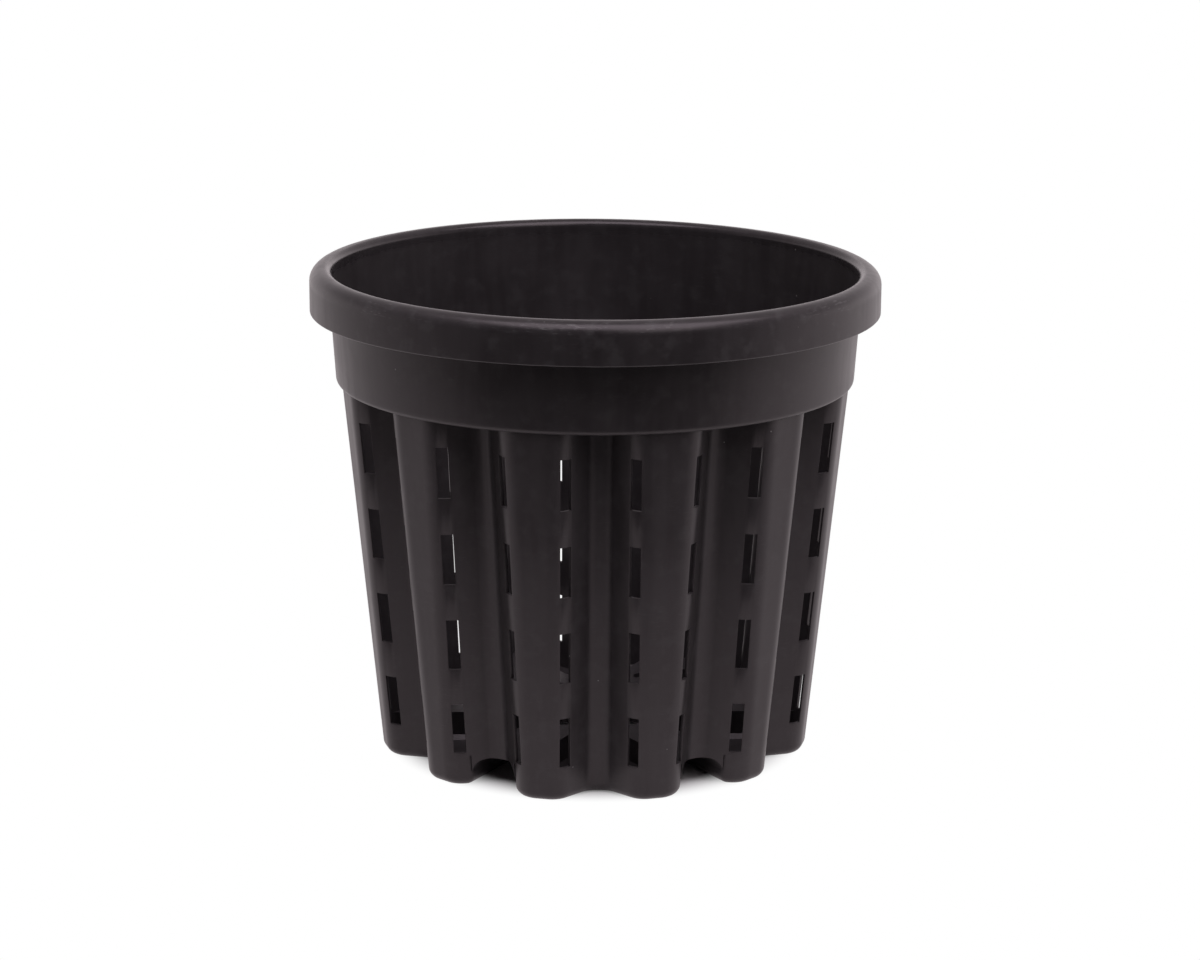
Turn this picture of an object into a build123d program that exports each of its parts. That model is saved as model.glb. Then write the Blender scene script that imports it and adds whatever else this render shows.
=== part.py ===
from build123d import *
import os
from math import cos, radians, sin, tan

# Orchid pot of moulded plastic, in millimetres, with +Z up along the pot's axis.
# The origin is the middle of the ground under the feet, and the front is towards -Y.
# The pot is one moulding. Each node is one region of it, and neighbours meet face to face.

# Rim lip around the mouth, an upside-down channel
pot_height = 216.4
rim_radius = 125.5
rim_skirt_depth = 19.6
rim_wall = 2.0
rim_channel_width = 7.1
rim_outer_round = 5.9
rim_inner_round = 1.6
rim_channel_round = 1.2

# Plain collar band below the rim
collar_foot_height = 166.2
collar_draft = 3.9
collar_wall = 1.4

# Ledge at the foot of the collar, which closes the tops of the grooves
ledge_thickness = 3.0
ledge_round = 2.4
ledge_step = 1.9

# Fluted wall: lobes with a narrow flat face and round corners, and grooves of even width between them
flute_count = 12
wall_draft = 5.5
wall_thickness = 1.4
groove_depth = 14.3
groove_floor_width = 6.8
lobe_foot_width = 17.1
lobe_corner_round = 10.4
groove_floor_round = 6.2

# Air slots on both corners of every lobe
slot_rows = 4
slot_height = 22.5
slot_width = 5.3
slot_top_drop = 23.4
slot_foot_rise = 12.85
slot_facing = 50.0
slot_setback = 3.6
slot_reach = 7.0

# Feet, one under each pair of lobes, with an arch between neighbours
arch_step = 6.0
arch_height = 12.0
arch_side_round = 4.5
arch_top_round = 5.5
foot_edge_round = 4.2
foot_pocket_chamfer = 2.0
foot_tip_width = 10.0
weep_hole_radius = 2.0
weep_hole_lift = 1.0

# Raised floor between the feet
floor_thickness = 2.0
centre_drain_radius = 8.0
ring_drain_radius = 5.0
ring_drain_circle = 30.0
arch_drain_radius = 4.5
arch_drain_circle = 48.0

# Sizes that follow from the driving dimensions
rim_base_height = pot_height - rim_skirt_depth
collar_slope = tan(radians(collar_draft))
collar_top_radius = rim_radius - rim_wall - rim_channel_width
collar_foot_radius = collar_top_radius - (rim_base_height - collar_foot_height) * collar_slope
ledge_top_height = collar_foot_height + ledge_thickness
flute_pitch = 360 / flute_count
half_pitch = radians(flute_pitch / 2)
wall_slope = tan(radians(wall_draft))
lobe_ground_radius = collar_foot_radius - ledge_step - collar_foot_height * wall_slope
groove_mouth_width = 2 * lobe_ground_radius * sin(half_pitch) - lobe_foot_width * cos(half_pitch)
foot_top_height = arch_height + floor_thickness
slot_top_centre = collar_foot_height - slot_top_drop
slot_pitch = (slot_top_centre - foot_top_height - slot_foot_rise) / (slot_rows - 1)
foot_count = flute_count // 2
foot_pitch = 360 / foot_count
arch_width = groove_mouth_width - 2 * arch_step
foot_inner_reach = (foot_tip_width / 2 + arch_width / 2 / cos(2 * half_pitch)) / tan(2 * half_pitch)

os.makedirs("parts", exist_ok=True)


def lobe_radius_at(height):
    """Distance from the axis to the middle of a lobe's face at a height."""
    return lobe_ground_radius + height * wall_slope


def collar_radius_at(height):
    """Outer radius of the collar's drafted wall, which runs on up inside the rim."""
    return collar_foot_radius + (height - collar_foot_height) * collar_slope


def facing_plane(azimuth, height):
    """Level plane whose X axis points out from the axis, at degrees round from the front."""
    turn = radians(azimuth)
    return Plane(origin=(0, 0, height), x_dir=(sin(turn), -cos(turn), 0), z_dir=(0, 0, 1))


def mirrored(point):
    """The same point on the other side of the plan's X axis."""
    return Vector(point.X, -point.Y)


def flute_corners(height, inset=0.0):
    """Corners of half a flute in plan, with the lobe's middle on +X: the groove's middle,
    the groove floor's corner, the arch's corner on the flank and the lobe's corner.
    An inset moves every wall inwards by that much."""
    lobe_radius = lobe_radius_at(height)
    groove_radius = lobe_radius - groove_depth
    out = Vector(cos(half_pitch), sin(half_pitch))
    across = Vector(sin(half_pitch), -cos(half_pitch))
    floor_corner = out * groove_radius + across * (groove_floor_width / 2)
    lobe_side = (lobe_radius * sin(half_pitch) - groove_mouth_width / 2) / cos(half_pitch)
    lobe_corner = Vector(lobe_radius, lobe_side)
    along = (lobe_corner - floor_corner).normalized()
    normal = Vector(-along.Y, along.X)
    flank = normal * (lobe_corner.dot(normal) - inset)
    floor_step = (groove_radius - inset - flank.dot(out)) / along.dot(out)
    arch_step = (arch_width / 2 + inset - flank.dot(across)) / along.dot(across)
    lobe_step = (lobe_radius - inset - flank.X) / along.X
    return (
        out * (groove_radius - inset),
        flank + along * floor_step,
        flank + along * arch_step,
        flank + along * lobe_step,
    )


def flute_half(height, inset=0.0):
    """Points and corner radii of half a flute's wall, from the groove's middle to the lobe."""
    groove, floor_corner, _, lobe_corner = flute_corners(height, inset)
    return [groove, floor_corner, lobe_corner], [0, groove_floor_round + inset, lobe_corner_round - inset]


def wall_band(height):
    """One flute's wall in plan, as thick as the wall: its points and corner radii."""
    outer_points, outer_rounds = flute_half(height)
    inner_points, inner_rounds = flute_half(height, wall_thickness)
    points = [mirrored(point) for point in outer_points] + outer_points[::-1]
    points += inner_points + [mirrored(point) for point in inner_points[::-1]]
    rounds = outer_rounds + outer_rounds[::-1] + inner_rounds + inner_rounds[::-1]
    return points, rounds


def wall_bore(height):
    """The whole inside of the fluted wall in plan: its points and corner radii."""
    half_points, half_rounds = flute_half(height, wall_thickness)
    points = []
    rounds = []
    for index in range(flute_count):
        turn = (index + 0.5) * flute_pitch
        flute_points = [mirrored(point) for point in half_points[1:]] + half_points[:0:-1]
        points += [point.rotate(Axis.Z, turn) for point in flute_points]
        rounds += half_rounds[1:] + half_rounds[:0:-1]
    return points, rounds


def foot_plan(height, inset=0.0):
    """One foot in plan, with its own groove on +X and an arch's side at each end:
    its points and corner radii."""
    _, floor_corner, arch_corner, lobe_corner = flute_corners(height, inset)
    arch_direction = Vector(cos(half_pitch), sin(half_pitch))
    inner_reach = foot_inner_reach + inset
    turn = flute_pitch / 2
    arch_side = arch_corner.rotate(Axis.Z, turn)
    heading = arch_direction.rotate(Axis.Z, turn)
    inner_corner = arch_side - heading * ((arch_side.X - inner_reach) / heading.X)
    half = [
        inner_corner,
        arch_side,
        lobe_corner.rotate(Axis.Z, turn),
        mirrored(lobe_corner).rotate(Axis.Z, turn),
        mirrored(floor_corner).rotate(Axis.Z, turn),
    ]
    half_rounds = [
        0,
        arch_side_round - inset,
        lobe_corner_round - inset,
        lobe_corner_round - inset,
        groove_floor_round + inset,
    ]
    points = [mirrored(point) for point in half] + half[::-1]
    return points, half_rounds + half_rounds[::-1]


def arch_roof(height, start):
    """The roof over an arch in plan, from a distance along its middle out to the groove's face:
    its points and corner radii."""
    _, floor_corner, arch_corner, _ = flute_corners(height)
    turn = -flute_pitch / 2
    arch_side = arch_corner.rotate(Axis.Z, turn)
    half = [Vector(start, arch_side.Y), arch_side, floor_corner.rotate(Axis.Z, turn)]
    half_rounds = [0, 0, groove_floor_round]
    points = [mirrored(point) for point in half] + half[::-1]
    return points, half_rounds + half_rounds[::-1]


def slot_plane(azimuth, side, height):
    """Plane across a lobe's corner at a height, facing out of the slot, with X up the corner."""
    level = facing_plane(azimuth, 0)
    low = flute_corners(0)[3]
    corner = flute_corners(height)[3]
    climb = Vector(corner.X - low.X, side * (corner.Y - low.Y), height).normalized()
    turn = radians(slot_facing)
    facing = Vector(cos(turn), side * sin(turn), 0)
    sideways = Vector(-sin(turn), side * cos(turn), 0)
    centre = Vector(corner.X, side * corner.Y, height) + sideways * slot_setback
    outward = (facing - climb * facing.dot(climb)).normalized()
    return level * Plane(origin=centre, x_dir=climb, z_dir=outward)


def weep_hole_plane(azimuth):
    """Plane on a foot's inner wall, facing the axis, where its weep hole starts."""
    height = foot_edge_round + weep_hole_lift + weep_hole_radius
    level = facing_plane(azimuth, height)
    return level * Plane(origin=(foot_inner_reach, 0, 0), x_dir=(0, 1, 0), z_dir=(-1, 0, 0))


# Rim lip: the collar's wall carried up, turned over and brought down as a skirt
with BuildPart() as rim_lip:
    with BuildSketch(Plane.XZ):
        channel_roof = pot_height - rim_wall
        skirt_inside = rim_radius - rim_wall
        skirt_inner_round = rim_outer_round - rim_wall
        with BuildLine():
            FilletPolyline(
                (collar_radius_at(rim_base_height) - collar_wall, rim_base_height),
                (collar_radius_at(pot_height) - collar_wall, pot_height),
                (rim_radius, pot_height),
                (rim_radius, rim_base_height),
                (skirt_inside, rim_base_height),
                (skirt_inside, channel_roof),
                (collar_radius_at(channel_roof), channel_roof),
                (collar_radius_at(rim_base_height), rim_base_height),
                radius=[0, rim_inner_round, rim_outer_round, 0, 0, skirt_inner_round, rim_channel_round, 0],
                close=True,
            )
        make_face()
    revolve(axis=Axis.Z)
rim_lip.part.label = "rim_lip"
export_step(rim_lip.part, "parts/rim_lip.step")

# Collar band: a plain drafted ring between the ledge and the rim
with BuildPart() as collar_band:
    with BuildSketch(Plane.XZ):
        with BuildLine():
            Polyline(
                (collar_radius_at(ledge_top_height), ledge_top_height),
                (collar_radius_at(rim_base_height), rim_base_height),
                (collar_radius_at(rim_base_height) - collar_wall, rim_base_height),
                (collar_radius_at(ledge_top_height) - collar_wall, ledge_top_height),
                close=True,
            )
        make_face()
    revolve(axis=Axis.Z)
collar_band.part.label = "collar_band"
export_step(collar_band.part, "parts/collar_band.step")

# Shoulder ledge: a flat ring that reaches in over every groove and leaves the lobes open
with BuildPart() as shoulder_ledge:
    with BuildSketch(Plane.XZ):
        with BuildLine():
            FilletPolyline(
                (0, collar_foot_height),
                (collar_foot_radius, collar_foot_height),
                (collar_radius_at(ledge_top_height), ledge_top_height),
                (0, ledge_top_height),
                radius=[0, ledge_round, 0, 0],
                close=True,
            )
        make_face()
    revolve(axis=Axis.Z)
    for height in (collar_foot_height, ledge_top_height):
        with BuildSketch(facing_plane(0, height)):
            points, rounds = wall_bore(height)
            with BuildLine():
                FilletPolyline(*points, radius=rounds, close=True)
            make_face()
    loft(ruled=True, mode=Mode.SUBTRACT)
shoulder_ledge.part.label = "shoulder_ledge"
export_step(shoulder_ledge.part, "parts/shoulder_ledge.step")

# Flutes: a lobe with half a groove on each side, and a column of slots down both corners
with BuildPart() as flute:
    for height in (foot_top_height, collar_foot_height):
        with BuildSketch(facing_plane(flute_pitch / 2, height)):
            points, rounds = wall_band(height)
            with BuildLine():
                FilletPolyline(*points, radius=rounds, close=True)
            make_face()
    loft(ruled=True)
    for side in (-1, 1):
        for row in range(slot_rows):
            with BuildSketch(slot_plane(flute_pitch / 2, side, slot_top_centre - row * slot_pitch)):
                Rectangle(slot_height, slot_width)
    extrude(amount=slot_reach, both=True, mode=Mode.SUBTRACT)
for index in range(flute_count):
    placed_flute = flute.part.rotate(Axis.Z, index * flute_pitch)
    placed_flute.label = f"flute_{index + 1:02d}"
    export_step(placed_flute, f"parts/{placed_flute.label}.step")

# Feet: thin cups under each pair of lobes, with a rounded lower edge and a weep hole at the back
with BuildPart() as foot:
    for height in (0, foot_top_height):
        with BuildSketch(facing_plane(0, height)):
            points, rounds = foot_plan(height)
            with BuildLine():
                FilletPolyline(*points, radius=rounds, close=True)
            make_face()
    loft(ruled=True)
    fillet(foot.edges().group_by(Axis.Z)[0], foot_edge_round)
    for height in (wall_thickness, foot_top_height):
        with BuildSketch(facing_plane(0, height)):
            points, rounds = foot_plan(height, wall_thickness)
            with BuildLine():
                FilletPolyline(*points, radius=rounds, close=True)
            make_face()
    loft(ruled=True, mode=Mode.SUBTRACT)
    pocket_edges = foot.edges().filter_by_position(Axis.Z, wall_thickness, wall_thickness)
    chamfer(pocket_edges, foot_pocket_chamfer)
    with Locations(weep_hole_plane(0)):
        Hole(weep_hole_radius, wall_thickness)
for index in range(foot_count):
    placed_foot = foot.part.rotate(Axis.Z, index * foot_pitch)
    placed_foot.label = f"foot_{index + 1}"
    export_step(placed_foot, f"parts/{placed_foot.label}.step")

# Arch rounds: strips that round the two upper corners of an arch, cut off by the wall's face
with BuildPart() as arch_rounds:
    for height in (0, arch_height):
        with BuildSketch(facing_plane(0, height)):
            points, rounds = arch_roof(height, foot_inner_reach)
            with BuildLine():
                FilletPolyline(*points, radius=rounds, close=True)
            make_face()
    loft(ruled=True)
    with BuildSketch(Plane.XZ):
        for side in (-1, 1):
            with BuildLine():
                corner = Vector(side * arch_width / 2, arch_height)
                foot_end = corner - Vector(0, arch_top_round)
                roof_end = corner - Vector(side * arch_top_round, 0)
                Polyline(foot_end, corner, roof_end)
                RadiusArc(roof_end, foot_end, side * arch_top_round)
            make_face()
    extrude(amount=rim_radius, mode=Mode.INTERSECT)

# Floor plate: a raised floor with a tongue out over every arch, and round drain holes
with BuildPart() as floor_plate:
    with BuildSketch(facing_plane(0, arch_height)):
        RegularPolygon(foot_inner_reach, foot_count, major_radius=False, rotation=foot_pitch / 2)
    extrude(amount=floor_thickness)
    for index in range(foot_count):
        azimuth = (index + 0.5) * foot_pitch
        for height in (arch_height, foot_top_height):
            with BuildSketch(facing_plane(azimuth, height)):
                points, rounds = arch_roof(height, 0)
                with BuildLine():
                    FilletPolyline(*points, radius=rounds, close=True)
                make_face()
        loft(ruled=True)
        add(arch_rounds.part.rotate(Axis.Z, azimuth))
    with Locations(facing_plane(0, foot_top_height)):
        Hole(centre_drain_radius, floor_thickness)
        with PolarLocations(ring_drain_circle, foot_count, start_angle=foot_pitch / 2):
            Hole(ring_drain_radius, floor_thickness)
        with PolarLocations(arch_drain_circle, foot_count, start_angle=foot_pitch / 2):
            Hole(arch_drain_radius, floor_thickness)
floor_plate.part.label = "floor_plate"
export_step(floor_plate.part, "parts/floor_plate.step")
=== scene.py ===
from bisect import bisect_right
from math import cos, pi, radians, sin, tan

import bmesh
import bpy
from mathutils import Matrix, Vector


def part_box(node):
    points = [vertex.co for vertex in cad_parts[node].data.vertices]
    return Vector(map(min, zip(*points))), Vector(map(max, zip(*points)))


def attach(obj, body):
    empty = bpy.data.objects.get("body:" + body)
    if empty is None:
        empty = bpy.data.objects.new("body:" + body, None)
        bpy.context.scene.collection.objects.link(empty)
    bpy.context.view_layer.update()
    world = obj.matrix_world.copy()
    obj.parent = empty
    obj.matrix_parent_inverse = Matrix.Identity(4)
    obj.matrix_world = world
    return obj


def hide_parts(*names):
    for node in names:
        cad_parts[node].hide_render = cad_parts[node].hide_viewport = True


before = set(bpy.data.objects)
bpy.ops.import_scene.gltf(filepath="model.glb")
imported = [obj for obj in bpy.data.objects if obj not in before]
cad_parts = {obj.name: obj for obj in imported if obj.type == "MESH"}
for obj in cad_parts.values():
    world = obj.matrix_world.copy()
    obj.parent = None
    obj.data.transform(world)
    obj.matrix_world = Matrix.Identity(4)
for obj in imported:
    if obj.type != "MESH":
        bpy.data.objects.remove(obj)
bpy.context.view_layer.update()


# Fluted wall
# Twelve lobes with a groove between each two, the main wall of a pot that is moulded in one shot
# of black polypropylene. The wall is 1.4 mm thick and drafted, so that it leaves its mould and
# nests, and every lobe has a column of four upright air slots on both of its round corners.
mm = 0.001
flute_count = 12
flute_turn = 2 * pi / flute_count
half_turn = flute_turn / 2
wall_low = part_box("flute_01")[0].z
wall_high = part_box("flute_01")[1].z
wall_thickness = 1.4 * mm
wall_slope = tan(radians(5.5))
ledge_low, ledge_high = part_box("shoulder_ledge")
collar_slope = tan(radians(3.9))
collar_foot_radius = ledge_high.x - (ledge_high.z - ledge_low.z) * collar_slope
ledge_step = 1.9 * mm
lobe_ground_radius = collar_foot_radius - ledge_step - wall_high * wall_slope
lobe_foot_width = 17.1 * mm
lobe_corner_round = 10.4 * mm
groove_depth = 14.3 * mm
groove_floor_width = 6.8 * mm
groove_floor_round = 6.2 * mm
groove_mouth_width = 2 * lobe_ground_radius * sin(half_turn) - lobe_foot_width * cos(half_turn)
arch_step = 6.0 * mm
arch_half_width = groove_mouth_width / 2 - arch_step
slot_rows = 4
slot_height = 22.5 * mm
slot_width = 5.3 * mm
slot_top_centre = wall_high - 23.4 * mm
slot_low_centre = wall_low + 12.85 * mm
slot_setback = 3.6 * mm
slot_facing = radians(50)
slot_across = Vector((-sin(slot_facing), cos(slot_facing)))
slot_edge_round = 0.12 * mm
slot_edge_steps = 2
round_steps = 24
flank_columns = 26
slot_columns = 4
face_columns = 9
weld_distance = 0.01 * mm
crease_angle = radians(35)


def flute_corners(height, inset):
    """Corners of half a flute in plan, its lobe facing +X: the groove's middle, the groove floor's
    corner, the arch's corner on the flank and the lobe's corner, all moved in by the inset."""
    lobe_radius = lobe_ground_radius + height * wall_slope
    groove_radius = lobe_radius - groove_depth
    out = Vector((cos(half_turn), sin(half_turn)))
    across = Vector((sin(half_turn), -cos(half_turn)))
    floor_corner = out * groove_radius + across * (groove_floor_width / 2)
    lobe_side = (lobe_radius * sin(half_turn) - groove_mouth_width / 2) / cos(half_turn)
    lobe_corner = Vector((lobe_radius, lobe_side))
    along = (lobe_corner - floor_corner).normalized()
    normal = Vector((-along.y, along.x))
    flank = normal * (lobe_corner.dot(normal) - inset)
    floor_step = (groove_radius - inset - flank.dot(out)) / along.dot(out)
    flank_step = (arch_half_width + inset - flank.dot(across)) / along.dot(across)
    lobe_step = (lobe_radius - inset - flank.x) / along.x
    return (
        out * (groove_radius - inset),
        flank + along * floor_step,
        flank + along * flank_step,
        flank + along * lobe_step,
    )


def rounded(before, corner, after, radius, steps=round_steps):
    """Points of a round at a corner, from its tangent point on one side to the one on the other."""
    back = (before - corner).normalized()
    on = (after - corner).normalized()
    half_angle = back.angle(on) / 2
    centre = corner + (back + on).normalized() * radius / sin(half_angle)
    start = corner + back * radius / tan(half_angle) - centre
    end = corner + on * radius / tan(half_angle) - centre
    turn = -start.angle_signed(end)
    return [centre + Matrix.Rotation(turn * step / steps, 2) @ start for step in range(steps + 1)]


def evenly(path, steps):
    """Points spaced evenly along a path, with both of its ends."""
    lengths = [0.0]
    for start, end in zip(path, path[1:]):
        lengths.append(lengths[-1] + (end - start).length)
    points = [path[0]]
    for step in range(1, steps):
        target = lengths[-1] * step / steps
        index = bisect_right(lengths, target) - 1
        share = (target - lengths[index]) / (lengths[index + 1] - lengths[index])
        points.append(path[index].lerp(path[index + 1], share))
    return points + [path[-1]]


def parted(path, corner, reach):
    """A path cut in two where it passes a slot's edge, at that reach from the lobe's corner."""
    reaches = [(point - corner).dot(slot_across) for point in path]
    index = next(number for number, value in enumerate(reaches) if value < reach)
    share = (reaches[index - 1] - reach) / (reaches[index - 1] - reaches[index])
    edge = path[index - 1].lerp(path[index], share)
    return path[:index] + [edge], [edge] + path[index:]


def flute_side(height, inset):
    """Points from the groove's middle to the lobe's middle: up to the slot, across it, and on."""
    groove, floor_corner, _, lobe_corner = flute_corners(height, inset)
    middle = Vector((lobe_corner.x, 0))
    path = [groove]
    path += rounded(groove, floor_corner, lobe_corner, groove_floor_round + inset)
    path += rounded(floor_corner, lobe_corner, middle, lobe_corner_round - inset)
    path.append(middle)
    outer_corner = flute_corners(height, 0)[3]
    flank, rest = parted(path, outer_corner, slot_setback + slot_width / 2)
    opening, face = parted(rest, outer_corner, slot_setback - slot_width / 2)
    points = evenly(flank, flank_columns)
    points += evenly(opening, slot_columns)[1:]
    points += evenly(face, face_columns)[1:]
    return points


def placed(point, azimuth, height):
    """A plan point at a height, with the plan's X axis turned to an azimuth from the front."""
    flat = Matrix.Rotation(azimuth - pi / 2, 2) @ point
    return Vector((flat.x, flat.y, height))


def flute_line(height, inset):
    """Points across one whole flute in plan, from one groove's middle to the next one's."""
    half = flute_side(height, inset)
    return [Vector((point.x, -point.y)) for point in half] + half[-2::-1]


def ring_group():
    """Node group that repeats a shape around the pot's axis and joins the copies into one skin."""
    group = bpy.data.node_groups.new("repeat around the axis", "GeometryNodeTree")
    group.interface.new_socket("Shape", in_out="INPUT", socket_type="NodeSocketGeometry")
    group.interface.new_socket("Count", in_out="INPUT", socket_type="NodeSocketInt")
    group.interface.new_socket("Weld", in_out="INPUT", socket_type="NodeSocketFloat")
    group.interface.new_socket("Plastic", in_out="INPUT", socket_type="NodeSocketMaterial")
    group.interface.new_socket("Ring", in_out="OUTPUT", socket_type="NodeSocketGeometry")
    kinds = {
        "given": "NodeGroupInput",
        "points": "GeometryNodePoints",
        "index": "GeometryNodeInputIndex",
        "pitch": "ShaderNodeMath",
        "turn": "ShaderNodeMath",
        "upright": "ShaderNodeCombineXYZ",
        "copies": "GeometryNodeInstanceOnPoints",
        "real": "GeometryNodeRealizeInstances",
        "weld": "GeometryNodeMergeByDistance",
        "finish": "GeometryNodeSetMaterial",
        "result": "NodeGroupOutput",
    }
    node = {name: group.nodes.new(kind) for name, kind in kinds.items()}
    node["pitch"].operation = "DIVIDE"
    node["pitch"].inputs[0].default_value = 2 * pi
    node["turn"].operation = "MULTIPLY"
    links = [
        ("given", "Count", "points", "Count"),
        ("given", "Count", "pitch", 1),
        ("pitch", 0, "turn", 0),
        ("index", 0, "turn", 1),
        ("turn", 0, "upright", "Z"),
        ("points", 0, "copies", "Points"),
        ("given", "Shape", "copies", "Instance"),
        ("upright", 0, "copies", "Rotation"),
        ("copies", 0, "real", 0),
        ("real", 0, "weld", "Geometry"),
        ("given", "Weld", "weld", "Distance"),
        ("weld", 0, "finish", "Geometry"),
        ("given", "Plastic", "finish", "Material"),
        ("finish", 0, "result", "Ring"),
    ]
    for source, output, target, socket in links:
        group.links.new(node[source].outputs[output], node[target].inputs[socket])
    return group


def crisp(mesh):
    """Smooth shading, with a break at every edge that turns by more than the crease angle."""
    mesh.polygons.foreach_set("use_smooth", [True] * len(mesh.polygons))
    mesh.set_sharp_from_angle(angle=crease_angle)
    return mesh


def as_piece(name, mesh, *nodes):
    """An object at the origin that shows a finished mesh in place of some of the pot's nodes."""
    piece = bpy.data.objects.new(name, mesh)
    bpy.context.scene.collection.objects.link(piece)
    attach(piece, "root")
    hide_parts(*nodes)


def repeated(shape, count, material):
    """Mesh of a shape repeated around the axis, worked out by the node group."""
    mesh = bpy.data.meshes.new("one of a ring")
    shape.to_mesh(mesh)
    shape.free()
    carrier = bpy.data.objects.new("ring carrier", mesh)
    bpy.context.scene.collection.objects.link(carrier)
    modifier = carrier.modifiers.new("ring", "NODES")
    modifier.node_group = axis_ring
    values = {"Count": count, "Weld": weld_distance, "Plastic": material}
    for item in axis_ring.interface.items_tree:
        if item.name in values:
            modifier[item.identifier] = values[item.name]
    evaluated = carrier.evaluated_get(bpy.context.evaluated_depsgraph_get())
    ring = bpy.data.meshes.new_from_object(evaluated)
    bpy.data.objects.remove(carrier)
    bpy.data.meshes.remove(mesh)
    return crisp(ring)


def slotted_flute():
    """One flute as two skins with slots through them, closed at its foot and its top."""
    slot_pitch = (slot_top_centre - slot_low_centre) / (slot_rows - 1)
    heights = [wall_low]
    for row in range(slot_rows):
        centre = slot_low_centre + row * slot_pitch
        heights += [centre - slot_height / 2, centre + slot_height / 2]
    heights.append(wall_high)
    shape = bmesh.new()
    skins = []
    for inset in (0, wall_thickness):
        rows = []
        for height in heights:
            points = [placed(point, half_turn, height) for point in flute_line(height, inset)]
            rows.append([shape.verts.new(point) for point in points])
        skins.append(rows)
    outer, inner = skins
    last = len(outer[0]) - 1
    first_slot = range(flank_columns, flank_columns + slot_columns)
    slot_cells = {(row, column) for row in range(1, len(heights) - 1, 2) for column in first_slot}
    slot_cells |= {(row, last - 1 - column) for row, column in slot_cells}
    slot_edges = []
    for row in range(len(heights) - 1):
        low, high = outer[row], outer[row + 1]
        low_in, high_in = inner[row], inner[row + 1]
        for column in range(last):
            after = column + 1
            if (row, column) not in slot_cells:
                shape.faces.new((low[column], low[after], high[after], high[column]))
                shape.faces.new((low_in[after], low_in[column], high_in[column], high_in[after]))
                continue
            shape.faces.new((low[column], low[after], low_in[after], low_in[column]))
            shape.faces.new((high[after], high[column], high_in[column], high_in[after]))
            if (row, column - 1) not in slot_cells:
                shape.faces.new((high[column], low[column], low_in[column], high_in[column]))
                slot_edges.append((low[column], high[column]))
            if (row, after) not in slot_cells:
                shape.faces.new((low[after], high[after], high_in[after], low_in[after]))
                slot_edges.append((low[after], high[after]))
            slot_edges += [(low[column], low[after]), (high[column], high[after])]
    for column in range(last):
        after = column + 1
        shape.faces.new((outer[0][after], outer[0][column], inner[0][column], inner[0][after]))
        shape.faces.new((outer[-1][column], outer[-1][after], inner[-1][after], inner[-1][column]))
    bmesh.ops.bevel(
        shape,
        geom=[shape.edges.get(pair) for pair in slot_edges],
        offset=slot_edge_round,
        segments=slot_edge_steps,
        profile=0.5,
        affect="EDGES",
    )
    return shape


class Shade:
    """A value in a material's node tree. Arithmetic on it adds Math nodes to the tree."""

    def __init__(self, tree, socket=None):
        self.tree = tree
        self.socket = socket

    def make(self, kind, sockets=None, settings=None, output=0):
        """Add a node: its settings first, then the values or links of its sockets.
        A socket goes by its number, its name, or its identifier where names repeat."""
        node = self.tree.nodes.new(kind)
        for name, value in (settings or {}).items():
            setattr(node, name, value)
        named = {socket.identifier: socket for socket in node.inputs}
        for name, value in (sockets or {}).items():
            socket = named[name] if name in named else node.inputs[name]
            if isinstance(value, Shade):
                self.tree.links.new(value.socket, socket)
            else:
                socket.default_value = value
        results = {socket.identifier: socket for socket in node.outputs}
        if output in results:
            return Shade(self.tree, results[output])
        return Shade(self.tree, node.outputs[output] if node.outputs else None)

    def math(self, operation, first, second):
        """A Math node on two values."""
        return self.make("ShaderNodeMath", {0: first, 1: second}, {"operation": operation})

    def __add__(self, other):
        return self.math("ADD", self, other)

    __radd__ = __add__

    def __sub__(self, other):
        return self.math("SUBTRACT", self, other)

    def __rsub__(self, other):
        return self.math("SUBTRACT", other, self)

    def __mul__(self, other):
        return self.math("MULTIPLY", self, other)

    __rmul__ = __mul__

    def stretch(self, low, high, to_low=0.0, to_high=1.0):
        """The value carried from one range to another with soft ends."""
        sockets = {"Value": self, "From Min": low, "From Max": high}
        sockets.update({"To Min": to_low, "To Max": to_high})
        return self.make("ShaderNodeMapRange", sockets, {"interpolation_type": "SMOOTHSTEP"})


def noise(coordinates, scale, detail=3.0, roughness=0.5):
    """Soft noise over a set of coordinates, with about that many cells to a metre."""
    sockets = {"Vector": coordinates, "Scale": scale, "Detail": detail, "Roughness": roughness}
    return coordinates.make("ShaderNodeTexNoise", sockets)


def blended(share, first, second):
    """One colour laid over another by a share."""
    sockets = {"Factor_Float": share, "A_Color": first, "B_Color": second}
    return share.make("ShaderNodeMix", sockets, {"data_type": "RGBA"}, "Result_Color")


def from_axis(place):
    """Distance from the pot's axis."""
    sockets = {0: place, 1: (1.0, 1.0, 0.0)}
    level = place.make("ShaderNodeVectorMath", sockets, {"operation": "MULTIPLY"})
    return level.make("ShaderNodeVectorMath", {0: level}, {"operation": "LENGTH"}, "Value")


# Finish of the plastic: where each zone of the rim begins and ends its fade, the patterns in cells
# to a metre, the squeeze of their coordinates that draws two of them out, and the colours
rim_low, rim_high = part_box("rim_lip")
rim_zone = (rim_high.x - 6.0 * mm, rim_high.x - 4.0 * mm)
shoulder_zone = (rim_high.x - 5.5 * mm, rim_high.x - 3.3 * mm)
mouth_zone = (rim_high.x - 7.7 * mm, rim_high.x - 6.3 * mm)
handled_zone = (rim_high.z - 7.9 * mm, rim_high.z - 4.9 * mm)
# Zone of the painted highlight along the skirt's lower edge
skirt_highlight_zone = (rim_low.z + 0.3 * mm, rim_low.z + 0.8 * mm)
streak_cells = 240.0
streak_squeeze = (1.0, 1.0, 0.08)
cloud_cells = 34.0
rubbed_cells = 130.0
grain_cells = 2400.0
grain_depth = 0.1 * mm
scuff_cells = 1500.0
scuff_squeeze = (0.16, 0.16, 1.0)
scuff_patch_cells = 45.0
dust_cells = 95.0
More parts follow.
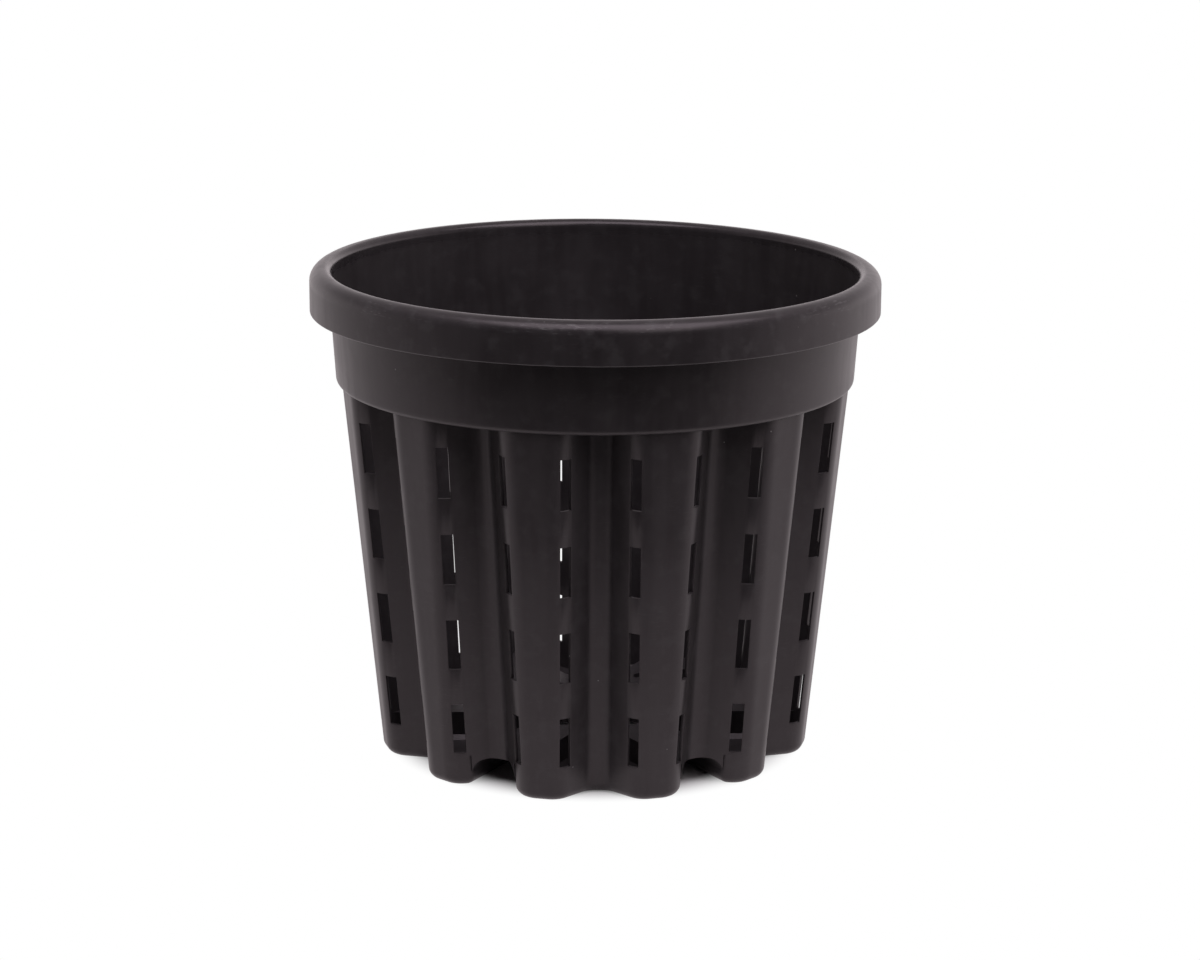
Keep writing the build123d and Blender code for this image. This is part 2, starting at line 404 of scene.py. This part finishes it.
deep_black = (0.0228, 0.0202, 0.0213, 1.0)
clouded_black = (0.0304, 0.0275, 0.0288, 1.0)
streaked_black = (0.0390, 0.0366, 0.0380, 1.0)
rubbed_black = (0.0470, 0.0448, 0.0460, 1.0)
# Pale grey painted along the skirt's lower edge as a highlight of light caught from the table
skirt_highlight_grey = (0.0880, 0.0850, 0.0860, 1.0)
scuffed_grey = (0.1680, 0.1660, 0.1660, 1.0)
dust_grey = (0.2180, 0.2130, 0.2090, 1.0)
moulded_roughness = 0.335


def moulded_plastic():
    """Black polypropylene: a soft sheen, faint flow streaks, rubbed patches, scuffs and dust.
    The rim is smoother where it is handled, and the skirt's lower edge has a painted highlight."""
    material = bpy.data.materials.new("pot plastic")
    material.use_nodes = True
    tree = material.node_tree
    tree.nodes.clear()
    root = Shade(tree)
    place = root.make("ShaderNodeTexCoord", output="Object")
    height = place.make("ShaderNodeSeparateXYZ", {0: place}, output="Z")
    reach = from_axis(place)

    upright = place.make("ShaderNodeMapping", {"Vector": place, "Scale": streak_squeeze})
    streaks = noise(upright, streak_cells, 2.0).stretch(0.35, 0.65)
    clouds = noise(place, cloud_cells, 4.0, 0.55).stretch(0.32, 0.68)
    rubbed = noise(place, rubbed_cells, 3.0, 0.5).stretch(0.50, 0.72)
    grain = noise(place, grain_cells, 2.0)

    on_rim = reach.stretch(*rim_zone)
    handled = height.stretch(*handled_zone)
    shoulder = reach.stretch(*shoulder_zone) * handled
    mouth_edge = handled * reach.stretch(*mouth_zone, 1.0, 0.0)
    # Painted highlight: a paler band along the skirt's lower edge, where it catches light from the
    # table
    skirt_edge_highlight = on_rim * height.stretch(*skirt_highlight_zone, 1.0, 0.0)

    level = place.make("ShaderNodeMapping", {"Vector": place, "Scale": scuff_squeeze})
    scuffs = noise(level, scuff_cells, 3.0, 0.6).stretch(0.54, 0.72)
    scuffs = scuffs * noise(place, scuff_patch_cells).stretch(0.42, 0.72)
    scuffs = scuffs * (0.12 + shoulder * 0.88)

    cells = {"Vector": place, "Scale": dust_cells}
    specks = place.make("ShaderNodeTexVoronoi", cells, output="Distance").stretch(0.026, 0.04, 1.0, 0.0)
    cell_colour = place.make("ShaderNodeTexVoronoi", cells, output="Color")
    chosen = cell_colour.make("ShaderNodeSeparateColor", {0: cell_colour}, output="Red")
    dust = specks * chosen.stretch(0.74, 0.76)

    body = blended(clouds, deep_black, clouded_black)
    body = blended(streaks * 0.25, body, streaked_black)
    body = blended(rubbed * (0.35 + on_rim * 0.35), body, rubbed_black)
    # The painted highlight laid along the skirt's lower edge
    body = blended(skirt_edge_highlight * (0.3 + clouds * 0.5), body, skirt_highlight_grey)
    body = blended(scuffs * 0.5, body, scuffed_grey)
    body = blended(dust * 0.8, body, dust_grey)
    sheen = moulded_roughness + clouds * 0.04 + streaks * 0.035 + rubbed * 0.03
    sheen = sheen + scuffs * 0.05 + dust * 0.3
    sheen = sheen - handled * 0.06 - mouth_edge * 0.09
    relief = grain * 0.6 + streaks * 0.25
    bump = relief.make("ShaderNodeBump", {"Strength": 0.10, "Distance": grain_depth, "Height": relief})
    finish = {
        "Base Color": body,
        "Roughness": sheen,
        "Normal": bump,
        "Specular IOR Level": 0.34,
        "Specular Tint": (1.0, 0.92, 0.94, 1.0),
    }
    plastic = body.make("ShaderNodeBsdfPrincipled", finish)
    plastic.make("ShaderNodeOutputMaterial", {"Surface": plastic})
    return material


axis_ring = ring_group()
pot_plastic = moulded_plastic()
flute_nodes = [f"flute_{number:02d}" for number in range(1, flute_count + 1)]
wall_mesh = repeated(slotted_flute(), flute_count, pot_plastic)
as_piece("fluted_wall", wall_mesh, *flute_nodes)


# Feet
# Six shallow cups, one under each pair of lobes, in the same moulding. Their lower edges are well
# rounded, the arch between two feet lets air and water pass, and a weep hole empties each cup.
foot_count = flute_count // 2
foot_edge_round = 4.2 * mm
arch_side_round = 4.5 * mm
foot_pocket_chamfer = 2.0 * mm
foot_tip_width = 10.0 * mm
foot_inner_reach = (foot_tip_width / 2 + arch_half_width / cos(flute_turn)) / tan(flute_turn)
weep_hole_radius = 2.0 * mm
weep_hole_rise = 1.0 * mm
weep_hole_height = foot_edge_round + weep_hole_rise + weep_hole_radius
weep_hole_sides = 32
edge_steps = 8


def turned(point, angle):
    """A plan point turned about the axis."""
    return Matrix.Rotation(angle, 2) @ point


def foot_loop(height, inset):
    """Closed outline of one foot in plan, its own groove facing +X and an arch at each end."""
    _, floor_corner, arch_corner, lobe_corner = flute_corners(height, inset)
    arch_side = turned(arch_corner, half_turn)
    heading = Vector((cos(flute_turn), sin(flute_turn)))
    inner_corner = arch_side - heading * ((arch_side.x - foot_inner_reach - inset) / heading.x)
    mirrored_lobe = Vector((lobe_corner.x, -lobe_corner.y))
    mirrored_floor = Vector((floor_corner.x, -floor_corner.y))
    half = [
        (inner_corner, 0),
        (arch_side, arch_side_round - inset),
        (turned(lobe_corner, half_turn), lobe_corner_round - inset),
        (turned(mirrored_lobe, half_turn), lobe_corner_round - inset),
        (turned(mirrored_floor, half_turn), groove_floor_round + inset),
    ]
    corners = half + [(Vector((point.x, -point.y)), radius) for point, radius in half[::-1]]
    loop = []
    for index, (point, radius) in enumerate(corners):
        if radius:
            before = corners[index - 1][0]
            after = corners[(index + 1) % len(corners)][0]
            loop += rounded(before, point, after, radius, edge_steps)
        else:
            loop.append(point)
    return loop


def foot_cup():
    """One foot as a closed thin cup, with a rounded lower edge and a chamfered pocket."""
    levels = []
    for step in range(edge_steps + 1):
        angle = pi / 2 * step / edge_steps
        levels.append((foot_edge_round * (1 - cos(angle)), foot_edge_round * (1 - sin(angle))))
    levels.append((wall_low, 0))
    levels.append((wall_low, wall_thickness))
    levels.append((wall_thickness + foot_pocket_chamfer, wall_thickness))
    levels.append((wall_thickness, wall_thickness + foot_pocket_chamfer))
    shape = bmesh.new()
    loops = []
    for height, inset in levels:
        loops.append([shape.verts.new(placed(point, 0, height)) for point in foot_loop(height, inset)])
    count = len(loops[0])
    for low, high in zip(loops, loops[1:]):
        for index in range(count):
            follower = (index + 1) % count
            shape.faces.new((low[index], low[follower], high[follower], high[index]))
    shape.faces.new(loops[0])
    shape.faces.new(loops[-1])
    bmesh.ops.recalc_face_normals(shape, faces=shape.faces)
    return shape


def drilled(shape):
    """The foot's shape with a weep hole through its inner wall, made by a Boolean."""
    drill = bmesh.new()
    lie_down = Matrix.Rotation(pi / 2, 4, "X")
    start = Matrix.Translation((0, -foot_inner_reach, weep_hole_height))
    bmesh.ops.create_cone(
        drill,
        cap_ends=True,
        segments=weep_hole_sides,
        radius1=weep_hole_radius,
        radius2=weep_hole_radius,
        depth=4 * wall_thickness,
        matrix=start @ lie_down,
    )
    objects = []
    for name, part in (("foot", shape), ("drill", drill)):
        mesh = bpy.data.meshes.new(name)
        part.to_mesh(mesh)
        part.free()
        objects.append(bpy.data.objects.new(name, mesh))
        bpy.context.scene.collection.objects.link(objects[-1])
    cut = objects[0].modifiers.new("weep hole", "BOOLEAN")
    cut.operation = "DIFFERENCE"
    cut.solver = "EXACT"
    cut.object = objects[1]
    evaluated = objects[0].evaluated_get(bpy.context.evaluated_depsgraph_get())
    result = bmesh.new()
    result.from_mesh(evaluated.data)
    for piece in objects:
        bpy.data.meshes.remove(piece.data)
    return result


foot_nodes = [f"foot_{number}" for number in range(1, foot_count + 1)]
foot_mesh = repeated(drilled(foot_cup()), foot_count, pot_plastic)
as_piece("feet", foot_mesh, *foot_nodes)


# Floor plate
# The raised floor between the feet, with a tongue out over every arch and round drain holes, still
# the same moulding. The node's own shape is right, so it stays and takes the plastic.
floor_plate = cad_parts["floor_plate"]
floor_plate.data.materials.clear()
floor_plate.data.materials.append(pot_plastic)


# Shoulder ledge
# The flat ring where the fluted wall steps out to the collar. It closes the top of every groove,
# its outer edge is rounded over into the collar, and its underside falls a little towards it.
ledge_round = 2.4 * mm
ledge_drop = 0.8 * mm
ledge_foot = ledge_low.z - ledge_drop
collar_wall = 1.4 * mm


def collar_radius_at(height):
    """Outer radius of the collar's drafted wall, which runs on up inside the rim."""
    return collar_foot_radius + (height - ledge_low.z) * collar_slope


def ring_of_loops(loops):
    """Closed skin through a series of loops with equal counts, the last one joined to the first."""
    shape = bmesh.new()
    rings = [[shape.verts.new(point) for point in loop] for loop in loops]
    count = len(rings[0])
    for number, low in enumerate(rings):
        high = rings[(number + 1) % len(rings)]
        for index in range(count):
            follower = (index + 1) % count
            shape.faces.new((low[index], low[follower], high[follower], high[index]))
    bmesh.ops.recalc_face_normals(shape, faces=shape.faces)
    return shape


def wall_loop(height, inset):
    """Closed outline of the whole fluted wall at a height."""
    loop = []
    for index in range(flute_count):
        azimuth = (index + 0.5) * flute_turn
        loop += [placed(point, azimuth, height) for point in flute_line(height, inset)[:-1]]
    return loop


def at_radius(loop, radius, height):
    """A loop's points moved out to a circle, each in its own direction."""
    points = []
    for point in loop:
        flat = Vector((point.x, point.y)).normalized() * radius
        points.append(Vector((flat.x, flat.y, height)))
    return points


def finished(shape, material):
    """Plain mesh of a shape, with its material."""
    mesh = bpy.data.meshes.new("finished shape")
    shape.to_mesh(mesh)
    shape.free()
    mesh.materials.append(material)
    return crisp(mesh)


low_bore = wall_loop(ledge_low.z, wall_thickness)
high_bore = wall_loop(ledge_high.z, wall_thickness)
ledge_edge = rounded(
    Vector((collar_radius_at(ledge_high.z), ledge_high.z)),
    Vector((collar_radius_at(ledge_foot), ledge_foot)),
    Vector((0, ledge_foot)),
    ledge_round,
    edge_steps,
)
ledge_loops = [low_bore, high_bore]
ledge_loops.append(at_radius(high_bore, collar_radius_at(ledge_high.z) - collar_wall, ledge_high.z))
ledge_loops.append(at_radius(high_bore, collar_radius_at(ledge_high.z), ledge_high.z))
ledge_loops += [at_radius(high_bore, point.x, point.y) for point in ledge_edge]
ledge_mesh = finished(ring_of_loops(ledge_loops), pot_plastic)
as_piece("shoulder_ledge_ring", ledge_mesh, "shoulder_ledge")


# Collar band
# A plain drafted band between the ledge and the rim, part of the same moulding. Its upper end
# goes up out of sight behind the rim's skirt.
collar_low, collar_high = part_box("collar_band")
turning_steps = 360


def turned_ring(section):
    """Skin of a closed section of radii and heights, turned about the axis."""
    loops = []
    for radius, height in section:
        loop = []
        for step in range(turning_steps):
            angle = 2 * pi * step / turning_steps
            loop.append(Vector((radius * sin(angle), -radius * cos(angle), height)))
        loops.append(loop)
    return ring_of_loops(loops)


collar_section = [
    (collar_radius_at(collar_low.z), collar_low.z),
    (collar_radius_at(collar_high.z), collar_high.z),
    (collar_radius_at(collar_high.z) - collar_wall, collar_high.z),
    (collar_radius_at(collar_low.z) - collar_wall, collar_low.z),
]
collar_mesh = finished(turned_ring(collar_section), pot_plastic)
as_piece("collar", collar_mesh, "collar_band")


# Rim lip
# The collar's wall carried up, turned over and brought down again as a skirt, which stiffens the
# mouth and gives the hands a grip. Its edges are rounded, and the skirt's lower edge is thin.
rim_wall = 2.0 * mm
rim_outer_round = 5.9 * mm
rim_inner_round = 3.2 * mm
rim_mouth_wall = 2.1 * mm
mouth_steps = 5
rim_channel_round = 1.2 * mm
skirt_edge_round = 0.6 * mm
rim_sag = 1.5 * mm
rim_high_side = Vector((-0.64, 0.77)).normalized()


def rim_outline():
    """Closed section of the rim as radii and heights. Its inner wall thickens towards the mouth."""
    roof = rim_high.z - rim_wall
    inside = rim_high.x - rim_wall
    corners = []
    for step in range(mouth_steps):
        share = step / mouth_steps
        height = rim_low.z + (rim_high.z - rim_low.z) * share
        wall = collar_wall + (rim_mouth_wall - collar_wall) * share**2
        corners.append(((collar_radius_at(height) - wall, height), 0))
    corners += [
        ((collar_radius_at(rim_high.z) - rim_mouth_wall, rim_high.z), rim_inner_round),
        ((rim_high.x, rim_high.z), rim_outer_round),
        ((rim_high.x, rim_low.z), skirt_edge_round),
        ((inside, rim_low.z), skirt_edge_round),
        ((inside, roof), rim_outer_round - rim_wall),
        ((collar_radius_at(roof), roof), rim_channel_round),
        ((collar_radius_at(rim_low.z), rim_low.z), 0),
    ]
    points = [Vector(point) for point, _ in corners]
    section = []
    for index, (_, radius) in enumerate(corners):
        if radius:
            after = points[(index + 1) % len(points)]
            section += rounded(points[index - 1], points[index], after, radius, edge_steps)
        else:
            section.append(points[index])
    return section


def settled(shape):
    """The rim as it left its mould: full height on one side, and a little lower towards the other."""
    for vertex in shape.verts:
        share = (vertex.co.z - rim_low.z) / (rim_high.z - rim_low.z)
        side = vertex.co.xy.normalized().dot(rim_high_side)
        vertex.co.z -= share * rim_sag * (1 - side) / 2
    return shape


rim_mesh = finished(settled(turned_ring(rim_outline())), pot_plastic)
as_piece("rim", rim_mesh, "rim_lip")


# Studio
# A pale table that ends a little in front of the pot, under a wide soft light above its front and
# a smaller one at the front right. The room is bright behind, dim above and dark in front, and
# the camera sees it white.
table_left = -0.55
table_right = 1.2
table_front = -0.285
table_back = 4.0
shadow_start = 0.074
shadow_end = 0.096
table_tone = (0.62, 0.68)
table_cells = 90.0
plain_white = (1.0, 1.0, 1.0, 1.0)
room_white = (1.0, 0.91, 0.935, 1.0)
front_to_back = (-0.70, 0.25)
front_light = 0.05
level_to_top = (0.10, 0.50)
top_light = 0.42
middle_light = 1.03
rightward_gain = 0.18


def pale_table():
    """White table. Beyond the shadow around the feet it shows as white as the backdrop, and in the
    pot's sheen it has the tint of the room."""
    material = bpy.data.materials.new("pale table")
    material.use_nodes = True
    tree = material.node_tree
    tree.nodes.clear()
    root = Shade(tree)
    place = root.make("ShaderNodeTexCoord", output="Object")
    seen = root.make("ShaderNodeLightPath", output="Is Camera Ray")
    shown = seen + root.make("ShaderNodeLightPath", output="Is Glossy Ray")
    shown = shown + root.make("ShaderNodeLightPath", output="Is Transmission Ray")
    clear = from_axis(place).stretch(shadow_start, shadow_end)
    speckle = noise(place, table_cells).stretch(0.0, 1.0, *table_tone)
    colour = root.make("ShaderNodeCombineColor", {0: speckle, 1: speckle, 2: speckle})
    diffuse = root.make("ShaderNodeBsdfDiffuse", {"Color": colour})
    white = blended(seen, room_white, plain_white)
    glow = root.make("ShaderNodeEmission", {"Color": white, "Strength": 1.0})
    mixed = root.make("ShaderNodeMixShader", {0: shown * clear, 1: diffuse, 2: glow})
    root.make("ShaderNodeOutputMaterial", {"Surface": mixed})
    return material


table_mesh = bpy.data.meshes.new("table")
table_corners = [
    (table_left, table_front, 0),
    (table_right, table_front, 0),
    (table_right, table_back, 0),
    (table_left, table_back, 0),
]
table_mesh.from_pydata(table_corners, [], [(0, 1, 2, 3)])
table_mesh.materials.append(pale_table())
table = bpy.data.objects.new("table", table_mesh)
bpy.context.scene.collection.objects.link(table)

room = bpy.data.worlds.new("studio room")
room.use_nodes = True
room.node_tree.nodes.clear()
air = Shade(room.node_tree)
direction = air.make("ShaderNodeTexCoord", output="Generated")
sideways = direction.make("ShaderNodeSeparateXYZ", {0: direction}, output="X")
depth = direction.make("ShaderNodeSeparateXYZ", {0: direction}, output="Y")
climb = direction.make("ShaderNodeSeparateXYZ", {0: direction}, output="Z")
behind = depth.stretch(*front_to_back, front_light, 1.0)
lopsided = middle_light + sideways * rightward_gain
dimmed = climb.stretch(*level_to_top, 1.0, top_light)
brightness = behind * dimmed * lopsided
room_light = air.make("ShaderNodeBackground", {"Color": room_white, "Strength": brightness})
backdrop = air.make("ShaderNodeBackground", {"Color": plain_white, "Strength": 1.0})
camera_ray = air.make("ShaderNodeLightPath", output="Is Camera Ray")
surround = air.make("ShaderNodeMixShader", {0: camera_ray, 1: room_light, 2: backdrop})
air.make("ShaderNodeOutputWorld", {"Surface": surround})
bpy.context.scene.world = room


def softbox(name, spot, target, width, breadth, power, tint):
    """A rectangular soft light at a spot, turned towards its target."""
    lamp = bpy.data.lights.new(name, "AREA")
    lamp.shape = "RECTANGLE"
    lamp.size = width
    lamp.size_y = breadth
    lamp.energy = power
    lamp.color = tint
    light = bpy.data.objects.new(name, lamp)
    light.location = spot
    light.rotation_euler = (Vector(target) - light.location).to_track_quat("-Z", "Y").to_euler()
    bpy.context.scene.collection.objects.link(light)


softbox(
    "top softbox",
    spot=(0.2, -0.58, 1.6),
    target=(0.2, -0.58, 0.0),
    width=2.0,
    breadth=1.2,
    power=23.5,
    tint=(1.0, 0.915, 0.995),
)
softbox(
    "front softbox",
    spot=(0.9, -1.7, 1.7),
    target=(0.0, 0.0, 0.2),
    width=1.3,
    breadth=1.3,
    power=9.5,
    tint=(1.0, 0.92, 0.95),
)


# Camera
# Placed where the photograph was taken: a long lens a metre and a half away, about 14 degrees up,
# with a slight lean and a pot that is turned a little on the table.
image_width = 1200
focal_pixels = 3345
sensor_width = 36
camera_distance = 1.4938
camera_rise = radians(14.06)
camera_swing = radians(0.093)
camera_lean = radians(0.255)
aim_height = 0.1185
pot_turn = radians(1.45)

level_right = Vector((1, 0, 0))
ahead = Vector((0, cos(camera_rise), -sin(camera_rise)))
above = level_right.cross(ahead)
swung_ahead = ahead * cos(camera_swing) + level_right * sin(camera_swing)
swung_right = level_right * cos(camera_swing) - ahead * sin(camera_swing)
leaning_right = swung_right * cos(camera_lean) + above * sin(camera_lean)
leaning_up = above * cos(camera_lean) - swung_right * sin(camera_lean)
camera_place = Matrix((leaning_right, leaning_up, -swung_ahead)).transposed().to_4x4()
camera_place.translation = Vector((0, 0, aim_height)) - ahead * camera_distance
lens = bpy.data.cameras.new("photograph's camera")
lens.sensor_width = sensor_width
lens.lens = focal_pixels * sensor_width / image_width
camera = bpy.data.objects.new("photograph's camera", lens)
camera.matrix_world = Matrix.Rotation(-pot_turn, 4, "Z") @ camera_place
bpy.context.scene.collection.objects.link(camera)
bpy.context.scene.camera = camera
bpy.context.scene.view_settings.view_transform = "Standard"
